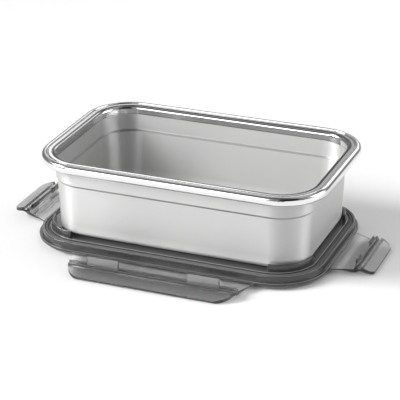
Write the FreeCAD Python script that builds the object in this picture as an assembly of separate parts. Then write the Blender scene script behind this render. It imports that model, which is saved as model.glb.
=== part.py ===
import FreeCAD, Part
import math
import os

from FreeCAD import Vector

# Steel lunch box standing on its own upturned locking lid.
# Millimetres. +X along the long side, +Y to the back, +Z up.
# The origin is on the table under the middle of the lid.

# Container
RIM_LENGTH = 205.9
RIM_WIDTH = 134.4
RIM_RADIUS = 34.0
RIM_TOP = 65.9
BASE_Z = 9.3
SHEET = 0.7
LAND_DROP = 0.55
LIP_DROP = 6.4
SHOULDER_Z = 47.4
WALL_INSET = 9.5
STEP_DEPTH = 1.15
BASE_INSET = 12.1
CONTAINER_X = 2.05
CONTAINER_Y = -0.4

# Lid, lying with its inner face up
LID_LENGTH = 210.0
LID_WIDTH = 138.6
LID_RADIUS = 37.0
FLANGE_BOTTOM = 2.7
FLANGE_TOP = 4.8
RING_TOP = 8.9
PLATEAU_TOP = 9.2
GROOVE_FLOOR = 5.4
GROOVE_OUTER = 4.2
GROOVE_INNER = 7.6
PANEL_THICKNESS = 2.2
RECESS_INSET = 11.5

# Ribs that keep the container in place on the upturned lid
RIB_INNER_RADIUS = 25.7
RIB_WIDTH = 2.6
RIB_HEIGHT = 5.0

# Locking flaps; u runs out from the hinge, v up from it
HINGE_Z = 3.85
HINGE_GAP = 1.3
ROOT_RADIUS = 0.45
VALLEY = 14.0
CREST_U = 16.2
CREST_V = 3.3
TAB_START = 19.1
TAB_TOP = 2.8
TIP_TOP = -1.8
TIP_BOTTOM = -3.6
LONG_FLAP_WIDTH = 132.0
LONG_FLAP_LENGTH = 30.2
SHORT_FLAP_WIDTH = 60.0
SHORT_FLAP_LENGTH = 27.9
LONG_LUG_TOP = 7.3
SHORT_LUG_TOP = 5.2
FRONT_ANGLE = 0.0
BACK_ANGLE = 0.0
RIGHT_ANGLE = 0.0
LEFT_ANGLE = 10.0
WEB_THICKNESS = 0.35


def rounded_outline(corners):
    """Closed wire in the XY plane through (x, y, r) corners, each rounded to r."""
    count = len(corners)
    cuts = []
    for i in range(count):
        x, y, r = corners[i]
        here = Vector(x, y, 0)
        before = Vector(corners[i - 1][0], corners[i - 1][1], 0) - here
        after = Vector(corners[(i + 1) % count][0], corners[(i + 1) % count][1], 0) - here
        before.normalize()
        after.normalize()
        angle = before.getAngle(after)
        if r <= 0.0 or math.pi - angle < 1e-4:
            cuts.append((here, None, here))
            continue
        cut = r / math.tan(angle / 2)
        middle = before + after
        middle.normalize()
        reach = r / math.sin(angle / 2) - r
        cuts.append((here + before * cut, here + middle * reach, here + after * cut))
    edges = []
    for i in range(count):
        start, middle, end = cuts[i]
        if middle is not None:
            edges.append(Part.Arc(start, middle, end).toShape())
        following = cuts[(i + 1) % count][0]
        if end.distanceToPoint(following) > 1e-5:
            edges.append(Part.LineSegment(end, following).toShape())
    return Part.Wire(edges)


def sheet_outline(path, thickness):
    """Both faces of a bent sheet as one outline; path holds (x, y, r) bends of its upper face."""
    lower = []
    last = len(path) - 1
    for i, (x, y, r) in enumerate(path):
        here = Vector(x, y, 0)
        ways = []
        if i > 0:
            ways.append(here - Vector(path[i - 1][0], path[i - 1][1], 0))
        if i < last:
            ways.append(Vector(path[i + 1][0], path[i + 1][1], 0) - here)
        for way in ways:
            way.normalize()
        sides = [Vector(-way.y, way.x, 0) for way in ways]
        if len(sides) == 1:
            shift = sides[0] * thickness
            bend = 0.0
        else:
            middle = sides[0] + sides[1]
            middle.normalize()
            shift = middle * (thickness / middle.dot(sides[0]))
            turn = ways[0].cross(ways[1]).z
            bend = max(0.0, r - math.copysign(thickness, turn)) if r > 0 else 0.0
        lower.append((here.x + shift.x, here.y + shift.y, bend))
    return rounded_outline(path + lower[::-1])


def rounded_slab(length, width, radius, low, high):
    """Plate with rounded corners, from z = low to z = high."""
    x = length / 2
    y = width / 2
    corners = [(-x, -y, radius), (x, -y, radius), (x, y, radius), (-x, y, radius)]
    wire = rounded_outline(corners)
    wire.translate(Vector(0, 0, low))
    return Part.Face(wire).extrude(Vector(0, 0, high - low))


def swept_ring(section, length, width, radius):
    """Carry a section round a rounded rectangle; its x is the inset from the outline, its y is z."""
    run_x = length / 2 - radius
    run_y = width / 2 - radius
    face = Part.Face(section)
    front = face.copy()
    front.transformShape(FreeCAD.Matrix(0, 0, 1, run_x, 1, 0, 0, -width / 2, 0, 1, 0, 0, 0, 0, 0, 1))
    pieces = [front.extrude(Vector(-2 * run_x, 0, 0))]
    pieces.append(front.revolve(Vector(run_x, -run_y, 0), Vector(0, 0, 1), 90))
    right = front.copy()
    right.rotate(Vector(run_x, -run_y, 0), Vector(0, 0, 1), 90)
    pieces.append(right.extrude(Vector(0, 2 * run_y, 0)))
    right.translate(Vector(0, 2 * run_y, 0))
    pieces.append(right.revolve(Vector(run_x, run_y, 0), Vector(0, 0, 1), 90))
    for piece in list(pieces):
        turned = piece.copy()
        turned.rotate(Vector(0, 0, 0), Vector(0, 0, 1), 180)
        pieces.append(turned)
    return pieces[0].multiFuse(pieces[1:]).removeSplitter()


def container():
    """Pressed tray: floor, drafted wall, shoulder, flared rim and rolled lip in one sheet."""
    land = RIM_TOP - LAND_DROP
    floor = BASE_Z + SHEET
    path = [
        (31.0, floor + 0.9, 0.0),
        (23.0, floor + 0.9, 1.2),
        (21.6, floor, 1.2),
        (BASE_INSET + SHEET, floor, 3.2),
        (WALL_INSET + STEP_DEPTH + SHEET, SHOULDER_Z - 0.9, 0.9),
        (WALL_INSET + SHEET, SHOULDER_Z + 0.3, 1.2),
        (WALL_INSET + SHEET - 0.1, land, 2.5),
        (4.75, land, 0.35),
        (4.45, land - 0.6, 0.25),
        (3.9, land - 0.6, 0.25),
        (3.5, RIM_TOP, 0.75),
        (0.0, RIM_TOP, 2.6),
        (0.0, RIM_TOP - LIP_DROP, 2.0),
        (2.6, RIM_TOP - LIP_DROP, 0.0),
    ]
    wall = swept_ring(sheet_outline(path, SHEET), RIM_LENGTH, RIM_WIDTH, RIM_RADIUS)
    inner = 30.5
    panel = rounded_slab(
        RIM_LENGTH - 2 * inner,
        RIM_WIDTH - 2 * inner,
        RIM_RADIUS - inner,
        floor + 0.9 - SHEET,
        floor + 0.9,
    )
    tray = wall.fuse(panel).removeSplitter()
    tray.translate(Vector(CONTAINER_X, CONTAINER_Y, 0))
    return tray


def lid_edge():
    """Flange, ring wall, seal groove, plateau edge and foot as one swept section."""
    panel = PLATEAU_TOP - PANEL_THICKNESS
    corners = [
        (0.0, FLANGE_BOTTOM, 0.6),
        (0.0, FLANGE_TOP, 0.7),
        (2.0, FLANGE_TOP, 0.5),
        (2.25, RING_TOP, 0.6),
        (GROOVE_OUTER, RING_TOP, 0.5),
        (GROOVE_OUTER, GROOVE_FLOOR, 0.3),
        (GROOVE_INNER, GROOVE_FLOOR, 0.3),
        (GROOVE_INNER, PLATEAU_TOP, 0.5),
        (RECESS_INSET + 12.0, PLATEAU_TOP, 0.0),
        (RECESS_INSET + 12.0, panel, 0.0),
        (RECESS_INSET + 0.4, panel, 1.2),
        (RECESS_INSET, 0.0, 1.0),
        (2.9, 0.0, 1.0),
        (2.4, FLANGE_BOTTOM, 0.4),
    ]
    return swept_ring(rounded_outline(corners), LID_LENGTH, LID_WIDTH, LID_RADIUS)


def corner_rib(side_x, side_y):
    """Raised crescent on the plateau round one corner of the container's base."""
    span = 72.0
    middle = RIB_INNER_RADIUS + RIB_WIDTH / 2
    low = PLATEAU_TOP - 0.4
    high = PLATEAU_TOP + RIB_HEIGHT
    corners = [
        (RIB_INNER_RADIUS, low, 0.0),
        (RIB_INNER_RADIUS + RIB_WIDTH, low, 0.0),
        (RIB_INNER_RADIUS + RIB_WIDTH - 0.2, high, 0.8),
        (RIB_INNER_RADIUS + 0.2, high, 0.8),
    ]
    section = Part.Face(rounded_outline(corners))
    section.rotate(Vector(0, 0, 0), Vector(1, 0, 0), 90)
    rib = section.revolve(Vector(0, 0, 0), Vector(0, 0, 1), span)
    rib.rotate(Vector(0, 0, 0), Vector(0, 0, 1), 45 - span / 2)
    ends = []
    for angle in (45 - span / 2, 45 + span / 2):
        end = Part.makeCone(RIB_WIDTH / 2, RIB_WIDTH / 2 - 0.2, high - low, Vector(middle, 0, low))
        end = end.makeFillet(0.5, [edge for edge in end.Edges if edge.BoundBox.ZMin > high - 0.01])
        end.rotate(Vector(0, 0, 0), Vector(0, 0, 1), angle)
        ends.append(end)
    rib = rib.multiFuse(ends).removeSplitter()
    turn = {(1, 1): 0, (-1, 1): 90, (-1, -1): 180, (1, -1): 270}[(side_x, side_y)]
    rib.rotate(Vector(0, 0, 0), Vector(0, 0, 1), turn)
    centre_x = LID_LENGTH / 2 - LID_RADIUS
    centre_y = LID_WIDTH / 2 - LID_RADIUS
    rib.translate(Vector(side_x * centre_x, side_y * centre_y, 0))
    return rib


def lid_panel():
    """One moulding: edge section, panel over the stacking recess, and four corner ribs."""
    inset = RECESS_INSET + 11.0
    panel = rounded_slab(
        LID_LENGTH - 2 * inset,
        LID_WIDTH - 2 * inset,
        LID_RADIUS - inset,
        PLATEAU_TOP - PANEL_THICKNESS,
        PLATEAU_TOP,
    )
    ribs = [corner_rib(x, y) for x in (-1, 1) for y in (-1, 1)]
    return lid_edge().multiFuse([panel] + ribs).removeSplitter()


def seal_gasket():
    """Soft ring in the lid's groove, with a raised lip towards the rim."""
    low = GROOVE_FLOOR
    outer = GROOVE_OUTER + 0.12
    inner = GROOVE_INNER - 0.12
    corners = [
        (outer, low, 0.3),
        (outer, 7.9, 0.4),
        (outer + 0.8, 8.7, 0.45),
        (outer + 1.5, 8.7, 0.3),
        (outer + 1.75, 7.7, 0.25),
        (inner - 0.9, 7.7, 0.25),
        (inner - 0.7, 8.4, 0.3),
        (inner, 8.4, 0.4),
        (inner, low, 0.3),
    ]
    return swept_ring(rounded_outline(corners), LID_LENGTH, LID_WIDTH, LID_RADIUS)


def flap_body(width, length, neck, corner):
    """Plate, valley, crest and grip tab of a flap lying along +X, hinge on the Y axis."""
    r = ROOT_RADIUS
    section = rounded_outline([
        (-r, -r, r - 0.01),
        (-r, r, r - 0.01),
        (5.0, 0.3, 20.0),
        (VALLEY, 0.0, 0.6),
        (CREST_U - 0.9, CREST_V, 0.4),
        (CREST_U + 0.4, CREST_V, 0.35),
        (CREST_U + 1.1, 1.0, 0.3),
        (TAB_START - 0.4, 1.0, 0.3),
        (TAB_START, TAB_TOP, 0.4),
        (length, TIP_TOP, 0.7),
        (length - 0.7, TIP_BOTTOM, 0.8),
        (20.0, -0.8, 1.5),
        (17.8, -0.9, 0.9),
        (15.4, -2.2, 0.8),
        (12.4, -2.3, 1.4),
        (5.0, -0.55, 20.0),
    ])
    section.rotate(Vector(0, 0, 0), Vector(1, 0, 0), 90)
    section.translate(Vector(0, width / 2, 0))
    body = Part.Face(section).extrude(Vector(0, -width, 0))
    half = width / 2
    plan = rounded_outline([
        (-2.0, -half, 0.0),
        (1.2, -half, 2.0),
        (VALLEY - 1.0, -half + neck, 12.0),
        (length, -half + neck, corner),
        (length, half - neck, corner),
        (VALLEY - 1.0, half - neck, 12.0),
        (1.2, half, 2.0),
        (-2.0, half, 0.0),
    ])
    plan.translate(Vector(0, 0, -10))
    return body.common(Part.Face(plan).extrude(Vector(0, 0, 30)))


def hook_lug(low, high, top):
    """Catch block on the crest: sheer face to the hinge, ramp towards the tab."""
    section = rounded_outline([
        (VALLEY, -0.6, 0.0),
        (VALLEY, top, 0.35),
        (VALLEY + 0.9, top, 0.35),
        (CREST_U + 0.75, CREST_V - 1.1, 0.0),
        (CREST_U, 0.8, 0.0),
    ])
    section.rotate(Vector(0, 0, 0), Vector(1, 0, 0), 90)
    section.translate(Vector(0, high, 0))
    lug = Part.Face(section).extrude(Vector(0, low - high, 0))
    ends = [edge for edge in lug.Edges if is_lug_end(edge, low, high)]
    return lug.makeFillet(0.5, ends)


def is_lug_end(edge, low, high):
    """Pick the upright corner edges at both ends of the catch face."""
    box = edge.BoundBox
    on_face = abs(box.XMin - VALLEY) < 0.01 and abs(box.XMax - VALLEY) < 0.01
    return on_face and box.ZLength > 3.0 and (abs(box.YMin - low) < 0.01 or abs(box.YMax - high) < 0.01)


def flap(width, length, neck, corner, lug_start, lug_end, lug_top):
    """Locking flap with two hook lugs, built flat with its hinge on the Y axis."""
    body = flap_body(width, length, neck, corner)
    lugs = [hook_lug(lug_start, lug_end, lug_top), hook_lug(-lug_end, -lug_start, lug_top)]
    return body.multiFuse(lugs).removeSplitter()


def hinge_web(width):
    """Thin flexible strip from the lid's flange to the flap's rounded root."""
    reach = HINGE_GAP - ROOT_RADIUS - 0.02
    corner = Vector(-HINGE_GAP, -width / 2 + 1.5, -WEB_THICKNESS / 2)
    return Part.makeBox(reach, width - 3.0, WEB_THICKNESS, corner)


def place(shape, turn, tilt, out):
    """Tilt a flat-built flap about its hinge and set it against one side of the lid."""
    shape.rotate(Vector(0, 0, 0), Vector(0, 1, 0), -tilt)
    shape.translate(Vector(out + HINGE_GAP, 0, HINGE_Z))
    shape.rotate(Vector(0, 0, 0), Vector(0, 0, 1), turn)
    return shape


LONG_FLAP = (LONG_FLAP_WIDTH, LONG_FLAP_LENGTH, 6.0, 15.0, 24.5, 47.4, LONG_LUG_TOP)
SHORT_FLAP = (SHORT_FLAP_WIDTH, SHORT_FLAP_LENGTH, 5.0, 8.0, 10.5, 21.0, SHORT_LUG_TOP)
SIDES = {
    "front": (270, FRONT_ANGLE, LID_WIDTH / 2, LONG_FLAP),
    "right": (0, RIGHT_ANGLE, LID_LENGTH / 2, SHORT_FLAP),
    "back": (90, BACK_ANGLE, LID_WIDTH / 2, LONG_FLAP),
    "left": (180, LEFT_ANGLE, LID_LENGTH / 2, SHORT_FLAP),
}


def write(name, shape):
    """Save one node and print its volume and validity."""
    if len(shape.Solids) == 1:
        shape = shape.Solids[0]
    shape.exportStep("parts/" + name + ".step")
    box = shape.BoundBox
    print(name, shape.ShapeType, shape.isValid(), round(shape.Volume), box)


os.makedirs("parts", exist_ok=True)
write("container", container())
write("lid_panel", lid_panel())
write("seal_gasket", seal_gasket())
for side, (turn, tilt, out, shape) in SIDES.items():
    write("flap_" + side, place(flap(*shape), turn, tilt, out))
    write("hinge_web_" + side, place(hinge_web(shape[0]), turn, 0.0, out))
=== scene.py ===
import math

import bmesh
import bpy
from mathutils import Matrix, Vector


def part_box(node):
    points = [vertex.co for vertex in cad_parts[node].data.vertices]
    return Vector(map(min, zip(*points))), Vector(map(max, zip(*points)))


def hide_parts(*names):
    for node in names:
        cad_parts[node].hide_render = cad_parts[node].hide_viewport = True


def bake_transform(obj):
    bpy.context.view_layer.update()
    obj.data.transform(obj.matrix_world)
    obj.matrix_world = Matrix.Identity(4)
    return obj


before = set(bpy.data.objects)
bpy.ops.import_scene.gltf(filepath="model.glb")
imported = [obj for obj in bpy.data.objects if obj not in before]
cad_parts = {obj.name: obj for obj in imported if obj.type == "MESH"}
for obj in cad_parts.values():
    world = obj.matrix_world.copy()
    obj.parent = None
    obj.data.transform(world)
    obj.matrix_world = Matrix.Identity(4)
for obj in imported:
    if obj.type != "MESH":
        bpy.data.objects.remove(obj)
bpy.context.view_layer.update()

scene = bpy.context.scene


class Nodes:
    """A small helper around one node tree."""

    def __init__(self, tree):
        self.tree = tree
        tree.nodes.clear()

    def add(self, kind, links=None, **settings):
        """Make a node; links maps an input to a value or to another node's output."""
        node = self.tree.nodes.new("ShaderNode" + kind)
        for key, value in settings.items():
            setattr(node, key, value)
        for key, value in (links or {}).items():
            if isinstance(value, bpy.types.NodeSocket):
                self.tree.links.new(value, node.inputs[key])
            else:
                node.inputs[key].default_value = value
        return node

    def math(self, operation, a, b=0.0):
        return self.add("Math", {0: a, 1: b}, operation=operation).outputs[0]

    def ramp(self, value, low, high, start, end):
        """Carry value from low..high to start..end, clamped."""
        links = {"Value": value, "From Min": low, "From Max": high, "To Min": start, "To Max": end}
        return self.add("MapRange", links).outputs["Result"]

    def mix(self, factor, first, second):
        node = self.add("Mix", {"Factor": factor}, data_type="RGBA")
        for socket, value in ((node.inputs[6], first), (node.inputs[7], second)):
            if isinstance(value, bpy.types.NodeSocket):
                self.tree.links.new(value, socket)
            else:
                socket.default_value = value
        return node.outputs[2]

    def noise(self, place, stretch, scale, detail=3.0, rough=0.55):
        """Noise over the object's own coordinates, stretched per axis."""
        mapped = self.add("Mapping", {"Vector": place, "Scale": stretch}).outputs[0]
        links = {"Vector": mapped, "Scale": scale, "Detail": detail, "Roughness": rough}
        return self.add("TexNoise", links).outputs[0]

    def band(self, value, low, high, soft):
        """1 between low and high, fading to 0 over soft on both sides."""
        rise = self.ramp(value, low - soft, low, 0.0, 1.0)
        fall = self.ramp(value, high, high + soft, 1.0, 0.0)
        return self.math("MULTIPLY", rise, fall)

    def inset(self, place, centre, size, radius):
        """Distance inside a rounded rectangle's outline, seen from above."""
        axes = self.add("SeparateXYZ", {0: place}).outputs
        past = []
        for axis, middle, length in zip("XY", centre, size):
            away = self.math("ABSOLUTE", self.math("SUBTRACT", axes[axis], middle))
            past.append(self.math("SUBTRACT", away, length / 2 - radius))
        outside = [self.math("MAXIMUM", value, 0.0) for value in past]
        squares = [self.math("MULTIPLY", value, value) for value in outside]
        corner = self.math("SQRT", self.math("ADD", squares[0], squares[1]))
        inside = self.math("MINIMUM", self.math("MAXIMUM", past[0], past[1]), 0.0)
        return self.math("SUBTRACT", radius, self.math("ADD", corner, inside))

    def edges(self):
        """1 along rounded edges and creases, 0 on open faces."""
        bevel = self.add("Bevel", {"Radius": EDGE_RADIUS}, samples=6).outputs[0]
        normal = self.add("NewGeometry").outputs["Normal"]
        same = self.add("VectorMath", {0: bevel, 1: normal}, operation="DOT_PRODUCT").outputs["Value"]
        turned = self.math("SUBTRACT", 1.0, same)
        return self.ramp(turned, *EDGE_TURN, 0.0, 1.0)


def outline(node):
    """Middle and size of a node's box from above, in metres."""
    low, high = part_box(node)
    middle = tuple((low[axis] + high[axis]) / 2 for axis in (0, 1))
    size = tuple(high[axis] - low[axis] for axis in (0, 1))
    return middle, size


# Corner radii of the container's and the lid's outlines, in metres.
RIM_RADIUS = 0.034
LID_RADIUS = 0.037
# An edge is where the normal, rounded over the radius, has turned this far: 1 minus the cosine.
EDGE_RADIUS = 0.0004
EDGE_TURN = (0.002, 0.12)

# Lines drawn on a surface: from, to, fade and depth.
# Painted dark reflections on the polished steel, as lines inward from the rim's outline.
RIM_PAINTED_REFLECTION_LINES = (
    (0.0012, 0.0016, 0.0002, 0.4),
    (0.0029, 0.0032, 0.0002, 0.3),
    (0.0048, 0.0050, 0.0002, 0.6),
    (0.0070, 0.0086, 0.0002, 0.9),
)
# Painted shade on the steel, by height: a shade line at the shoulder's step, a shadow line under the
# lip's lower edge and a dark reflection line on the roll.
HEIGHT_PAINTED_SHADE_LINES = (
    (0.0464, 0.0474, 0.0005, 0.45),
    (0.0595, 0.0600, 0.0003, 0.35),
    (0.0640, 0.0652, 0.0002, 0.45),
)
# Painted highlights along the lid's ridges, inward from its outline.
PAINTED_RIDGE_HIGHLIGHTS = (
    (0.0002, 0.0004, 0.0001, 0.5),
    (0.0027, 0.0029, 0.0001, 0.75),
    (0.0038, 0.0040, 0.0001, 0.5),
    (0.0078, 0.0080, 0.0001, 0.75),
)

# Steel: the heights over which the polish starts and the painted light on the wall's lower part ends.
POLISH_FADE = (0.0590, 0.0596)
PAINTED_FOOT_LIGHT_FADE = (0.009, 0.018)
WALL_TINTS = (0.575, 0.625)
PAINTED_FOOT_LIGHT_TINT = 0.85
POLISH_TINT = 0.8
# Colours of the painted dark reflections on the rim and the painted shade lines on the wall.
PAINTED_DARK_TINTS = (0.03, 0.06)
WARMTH = 0.004
WALL_ROUGH = (0.38, 0.5)
CLOUD_ROUGH = (-0.03, 0.03)
POLISH_ROUGH = 0.15
# The satin wall reads as part metal and the polished rim as all metal.
WALL_METAL = 0.65
# How strongly the horizontal brushing spreads reflections up and down.
BRUSHING = 0.85


def grey(value, warm=0.0):
    return (value * (1 + warm), value, value * (1 - warm), 1.0)


def new_material(name):
    material = bpy.data.materials.new(name)
    material.use_nodes = True
    return material, Nodes(material.node_tree)


def finish_material(n, shader):
    n.add("OutputMaterial", {"Surface": shader.outputs[0]})


def steel():
    """Satin drawn sheet, with a polished rim and lip."""
    material, n = new_material("steel")
    place = n.add("TexCoord").outputs["Object"]
    height = n.add("SeparateXYZ", {0: place}).outputs["Z"]
    inset = n.inset(place, *outline("container"), RIM_RADIUS)
    polished = n.ramp(height, *POLISH_FADE, 0.0, 1.0)
    satin = n.math("SUBTRACT", 1.0, polished)
    grain = n.noise(place, (1.0, 1.0, 26.0), 90.0, 5.0, 0.7)
    cloud = n.noise(place, (1.0, 1.0, 1.0), 14.0)
    rough = n.math("ADD", n.ramp(grain, 0.3, 0.7, *WALL_ROUGH), n.ramp(cloud, 0.3, 0.7, *CLOUD_ROUGH))
    rough = n.math("ADD", n.math("MULTIPLY", rough, satin), n.math("MULTIPLY", polished, POLISH_ROUGH))
    tint = n.mix(cloud, *(grey(value, WARMTH) for value in WALL_TINTS))
    # Painted light: the wall is lightened towards its foot, lifting its darker lower part.
    tint = n.mix(n.ramp(height, *PAINTED_FOOT_LIGHT_FADE, 1.0, 0.0), tint, grey(PAINTED_FOOT_LIGHT_TINT, WARMTH))
    tint = n.mix(polished, tint, grey(POLISH_TINT))
    rim_painted_reflection, wall_painted_shade = (grey(value) for value in PAINTED_DARK_TINTS)
    # Painted dark reflections on the polished rim, laid into its colour.
    for low, high, soft, depth in RIM_PAINTED_REFLECTION_LINES:
        line = n.math("MULTIPLY", n.band(inset, low, high, soft), n.math("MULTIPLY", polished, depth))
        tint = n.mix(line, tint, rim_painted_reflection)
    # Painted shade, a painted shadow line and a painted dark reflection, by height.
    for low, high, soft, depth in HEIGHT_PAINTED_SHADE_LINES:
        line = n.math("MULTIPLY", n.band(height, low, high, soft), depth)
        tint = n.mix(line, tint, wall_painted_shade)
    bump_height = n.math("MULTIPLY", grain, satin)
    bump = n.add("Bump", {"Height": bump_height, "Strength": 0.035, "Distance": 0.0003}).outputs[0]
    around = n.add("Tangent", direction_type="RADIAL", axis="Z").outputs[0]
    links = {
        "Base Color": tint,
        "Metallic": n.ramp(polished, 0.0, 1.0, WALL_METAL, 1.0),
        "Roughness": rough,
        "Anisotropic": n.math("MULTIPLY", satin, BRUSHING),
        "Anisotropic Rotation": 0.25,
        "Tangent": around,
        "Normal": bump,
    }
    finish_material(n, n.add("BsdfPrincipled", links))
    return material


def smoke(name, tint, clear, density, shine, painted_edge_tint, painted_edge_depth, painted_ridge_highlights=()):
    """Smoky translucent moulding: clear is its transmission, density its absorption per metre."""
    material, n = new_material(name)
    place = n.add("TexCoord").outputs["Object"]
    cloud = n.noise(place, (1.0, 1.0, 1.0), 30.0)
    pores = n.noise(place, (1.0, 1.0, 1.0), 1400.0, 2.0)
    # Painted shading along rounded edges in the edge tint: light lines on the lid, dark outlines on the
    # flaps and hinge films.
    painted_edge_shading = n.math("MULTIPLY", n.edges(), painted_edge_depth)
    inset = n.inset(place, *outline("lid_panel"), LID_RADIUS)
    # Painted highlights along the lid's ridges.
    for low, high, soft, depth in painted_ridge_highlights:
        painted_edge_shading = n.math("MAXIMUM", painted_edge_shading, n.math("MULTIPLY", n.band(inset, low, high, soft), depth))
    body = n.mix(cloud, grey(tint * 0.95), grey(min(tint * 1.05, 1.0)))
    bump = n.add("Bump", {"Height": pores, "Strength": 0.008, "Distance": 0.0001}).outputs[0]
    links = {
        "Base Color": n.mix(painted_edge_shading, body, grey(painted_edge_tint)),
        "Roughness": n.ramp(pores, 0.3, 0.7, shine - 0.03, shine + 0.05),
        "IOR": 1.49,
        "Transmission Weight": n.math("SUBTRACT", clear, n.math("MULTIPLY", painted_edge_shading, clear)),
        "Normal": bump,
    }
    surface = n.add("BsdfPrincipled", links)
    volume = n.add("VolumeAbsorption", {"Color": grey(0.3), "Density": density})
    n.add("OutputMaterial", {"Surface": surface.outputs[0], "Volume": volume.outputs[0]})
    return material


def silicone():
    """Soft seal, a matt grey close to the lid's."""
    material, n = new_material("silicone")
    place = n.add("TexCoord").outputs["Object"]
    fine = n.noise(place, (1.0, 1.0, 1.0), 900.0, 4.0)
    cloud = n.noise(place, (1.0, 1.0, 1.0), 40.0)
    tint = n.mix(cloud, grey(0.10), grey(0.13))
    rough = n.ramp(fine, 0.3, 0.7, 0.42, 0.58)
    bump = n.add("Bump", {"Height": fine, "Strength": 0.12, "Distance": 0.0001}).outputs[0]
    links = {"Base Color": tint, "Roughness": rough, "IOR": 1.42, "Normal": bump, "Sheen Weight": 0.1}
    finish_material(n, n.add("BsdfPrincipled", links))
    return material


def floor_material():
    material, n = new_material("floor")
    place = n.add("TexCoord").outputs["Object"]
    cloud = n.noise(place, (1.0, 1.0, 1.0), 3.0)
    tint = n.mix(cloud, grey(0.88), grey(0.9))
    finish_material(n, n.add("BsdfPrincipled", {"Base Color": tint, "Roughness": 0.7}))
    return material


def dress(node, material):
    """Give a CAD node its finished material."""
    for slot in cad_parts[node].material_slots:
        slot.material = material


# Flap edges: painted dark outlines.
FLAP_LOOK = {"tint": 0.94, "clear": 0.98, "shine": 0.1, "painted_edge_tint": 0.03, "painted_edge_depth": 0.6}
# One moulding in two densities: the front and back flaps are painted darker and the left and right
# flaps painted lighter, standing in for how the light falls on them.
FLAP_SMOKE_PAINTED_DARKER = smoke("smoke_flap_painted_darker", density=235.0, **FLAP_LOOK)
FLAP_SMOKE_PAINTED_LIGHTER = smoke("smoke_flap_painted_lighter", density=180.0, **FLAP_LOOK)
# Lid edges: painted highlights, lighter than the lid's body.
LID_LOOK = {"tint": 0.085, "clear": 0.4, "shine": 0.12, "painted_edge_tint": 0.4, "painted_edge_depth": 0.4}
LID_SMOKE = smoke("smoke_lid", density=60.0, painted_ridge_highlights=PAINTED_RIDGE_HIGHLIGHTS, **LID_LOOK)
# Hinge film edges: faint painted dark outlines.
FILM_LOOK = {"tint": 0.8, "clear": 0.9, "shine": 0.2, "painted_edge_tint": 0.05, "painted_edge_depth": 0.1}
FILM_SMOKE = smoke("smoke_film", density=180.0, **FILM_LOOK)

dress("container", steel())
dress("lid_panel", LID_SMOKE)
dress("seal_gasket", silicone())
for side in ("front", "back"):
    dress("flap_" + side, FLAP_SMOKE_PAINTED_DARKER)
for side in ("left", "right"):
    dress("flap_" + side, FLAP_SMOKE_PAINTED_LIGHTER)


# The living hinges, in metres: thickness at the ends and the middle, how far each end reaches into
# the flange and the flap, and how far its sides draw in at the middle.
FILM_STEPS = 12
FILM_ENDS = 0.0004
FILM_MIDDLE = 0.00026
INTO_FLANGE = 0.0003
INTO_FLAP = 0.00035
FILM_WAIST = 0.0004
OUTWARD = {"front": (0, -1, 0), "back": (0, 1, 0), "left": (-1, 0, 0), "right": (1, 0, 0)}


def hinge_film(side, outward):
    """Living hinge: a strip thinned in the middle, from inside the flange to inside the flap's root."""
    low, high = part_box("hinge_web_" + side)
    low, high = Vector(low), Vector(high)
    centre = (low + high) / 2
    outward = Vector(outward)
    along = Vector((-outward.y, outward.x, 0))
    half_length = abs((high - low).dot(along)) / 2
    reach = abs((high - low).dot(outward))
    inner = centre - outward * (reach / 2 + INTO_FLANGE)
    span = INTO_FLANGE + reach + INTO_FLAP
    mesh = bmesh.new()
    rows = []
    for i in range(FILM_STEPS + 1):
        t = i / FILM_STEPS
        waist = math.sin(math.pi * t)
        thick = FILM_ENDS + (FILM_MIDDLE - FILM_ENDS) * waist
        ends = half_length - FILM_WAIST * waist
        point = inner + outward * (span * t)
        row = []
        for end, rise in ((-1, -1), (1, -1), (1, 1), (-1, 1)):
            corner = along * (ends * end) + Vector((0, 0, thick / 2 * rise))
            row.append(mesh.verts.new(point + corner))
        rows.append(row)
    for first, second in zip(rows, rows[1:]):
        for k in range(4):
            mesh.faces.new((first[k], first[(k + 1) % 4], second[(k + 1) % 4], second[k]))
    mesh.faces.new(rows[0][::-1])
    mesh.faces.new(rows[-1])
    bmesh.ops.recalc_face_normals(mesh, faces=mesh.faces)
    data = bpy.data.meshes.new("hinge_film_" + side)
    mesh.to_mesh(data)
    mesh.free()
    film = bpy.data.objects.new("hinge_film_" + side, data)
    scene.collection.objects.link(film)
    data.materials.append(FILM_SMOKE)
    end = inner + outward * span
    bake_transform(film)
    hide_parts("hinge_web_" + side)


for side, outward in OUTWARD.items():
    hinge_film(side, outward)


# Camera: azimuth to the right of the front and elevation, in degrees; distance and aim in metres;
# lens and sensor in millimetres.
AZIMUTH = 21.42
ELEVATION = 23.65
DISTANCE = 1.215
LENS = 156.9
SENSOR = 36.0
AIM = (0.00161, -0.00333, 0.02657)


def make_camera():
    a, e = math.radians(AZIMUTH), math.radians(ELEVATION)
    back = Vector((math.sin(a) * math.cos(e), -math.cos(a) * math.cos(e), math.sin(e)))
    data = bpy.data.cameras.new("camera")
    data.lens = LENS
    data.sensor_width = SENSOR
    data.clip_start = 0.01
    camera = bpy.data.objects.new("camera", data)
    camera.location = Vector(AIM) + back * DISTANCE
    camera.rotation_euler = back.to_track_quat("Z", "Y").to_euler()
    scene.collection.objects.link(camera)
    scene.camera = camera


def area_light(name, place, target, size, power):
    data = bpy.data.lights.new(name, "AREA")
    data.size = size
    data.energy = power
    light = bpy.data.objects.new(name, data)
    light.location = place
    light.rotation_euler = (Vector(target) - Vector(place)).to_track_quat("-Z", "Y").to_euler()
    scene.collection.objects.link(light)


def sun_light(name, toward, spread, strength):
    data = bpy.data.lights.new(name, "SUN")
    data.angle = math.radians(spread)
    data.energy = strength
    light = bpy.data.objects.new(name, data)
    light.rotation_euler = Vector(toward).to_track_quat("Z", "Y").to_euler()
    scene.collection.objects.link(light)


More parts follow.
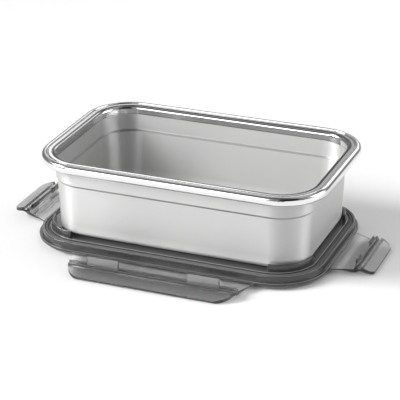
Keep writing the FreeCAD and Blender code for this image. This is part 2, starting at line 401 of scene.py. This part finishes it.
# Parts of the studio, each as limits on the direction looked in: axis, from, to and fade. Y points to
# the back, and "turn" is the angle right of the front in radians. PAST is beyond every direction.
PAST = 2.0
BACK = ("Y", 0.5, PAST, 0.2)
WINDOW_PANES = (
    (BACK, ("Z", 0.372, 0.41, 0.015), ("X", -0.46, -0.32, 0.03)),
    (BACK, ("Z", 0.34, 0.56, 0.05), ("X", -0.17, 0.2, 0.05)),
    (BACK, ("Z", 0.48, 0.56, 0.02), ("X", -0.38, -0.17, 0.04)),
)
# The window is cut out of this wall, so it isn't among the panels.
BACK_WALL = (BACK, ("Z", -0.05, 0.6, 0.05))
BACK_WALL_DEPTH = 0.45
# Dark panels for the metal to reflect, each with its depth: low in front and on the left, a ring and
# a disc overhead, upright cards right of the front and at the left, the horizon and a strip overhead.
PANELS = (
    (1.0, (("Y", -PAST, -0.35, 0.45), ("Z", 0.0, 0.28, 0.04))),
    (0.6, (("X", -PAST, -0.3, 0.3), ("Z", 0.0, 0.28, 0.04))),
    (0.8, (("Z", 0.64, 0.74, 0.04),)),
    (0.8, (("Z", 0.98, PAST, 0.02),)),
    (1.0, (("turn", 0.3, 1.05, 0.1), ("Z", -0.1, 0.8, 0.05))),
    (0.6, (("turn", -2.35, -1.7, 0.1), ("Z", -0.1, 0.5, 0.05))),
    (0.85, (BACK, ("Z", -0.03, 0.07, 0.03))),
    (0.85, (("Y", -0.5, -0.12, 0.06), ("Z", 0.78, PAST, 0.06))),
)
PANEL_TINT = 0.03
STUDIO_STRENGTH = 0.74
WINDOW_STRENGTH = 1.5


def make_world():
    """Pale studio with a bright window behind, and dark panels for the metal to reflect."""
    world = bpy.data.worlds.new("world")
    scene.world = world
    world.use_nodes = True
    n = Nodes(world.node_tree)
    way = n.add("TexCoord").outputs["Generated"]
    axes = n.add("SeparateXYZ", {0: way}).outputs
    values = {axis: axes[axis] for axis in "XYZ"}
    values["turn"] = n.math("ARCTAN2", axes["X"], n.math("MULTIPLY", axes["Y"], -1.0))

    def patch(depth, limits):
        """The depth inside all the limits, fading to 0 outside them."""
        area = depth
        for axis, low, high, fade in limits:
            area = n.math("MULTIPLY", n.band(values[axis], low, high, fade), area)
        return area

    window = 0.0
    for limits in WINDOW_PANES:
        window = n.math("MAXIMUM", patch(1.0, limits), window)
    dark = n.math("MULTIPLY", patch(BACK_WALL_DEPTH, BACK_WALL), n.math("SUBTRACT", 1.0, window))
    for depth, limits in PANELS:
        dark = n.math("MAXIMUM", patch(depth, limits), dark)
    light = n.mix(dark, grey(1.0), grey(PANEL_TINT))
    strength = n.math("ADD", n.math("MULTIPLY", window, WINDOW_STRENGTH), STUDIO_STRENGTH)
    background = n.add("Background", {"Color": light, "Strength": strength})
    n.add("OutputWorld", {"Surface": background.outputs[0]})


FLOOR_SIZE = 20
# The middle of the container, which the area lights face.
TARGET = (0, 0, 0.03)


def make_floor():
    bpy.ops.mesh.primitive_plane_add(size=FLOOR_SIZE, location=(0, 0, 0))
    floor = bpy.context.object
    floor.name = "floor"
    floor.data.materials.append(floor_material())


make_camera()
make_world()
make_floor()
sun_light("key", toward=(-1.1, -0.5, 0.75), spread=26.0, strength=3.3)
area_light("side", place=(1.32, 0.5, 0.6), target=TARGET, size=1.0, power=9)
area_light("fill", place=(-0.58, -1.4, 0.6), target=TARGET, size=0.9, power=9)
scene.view_settings.view_transform = "Standard"
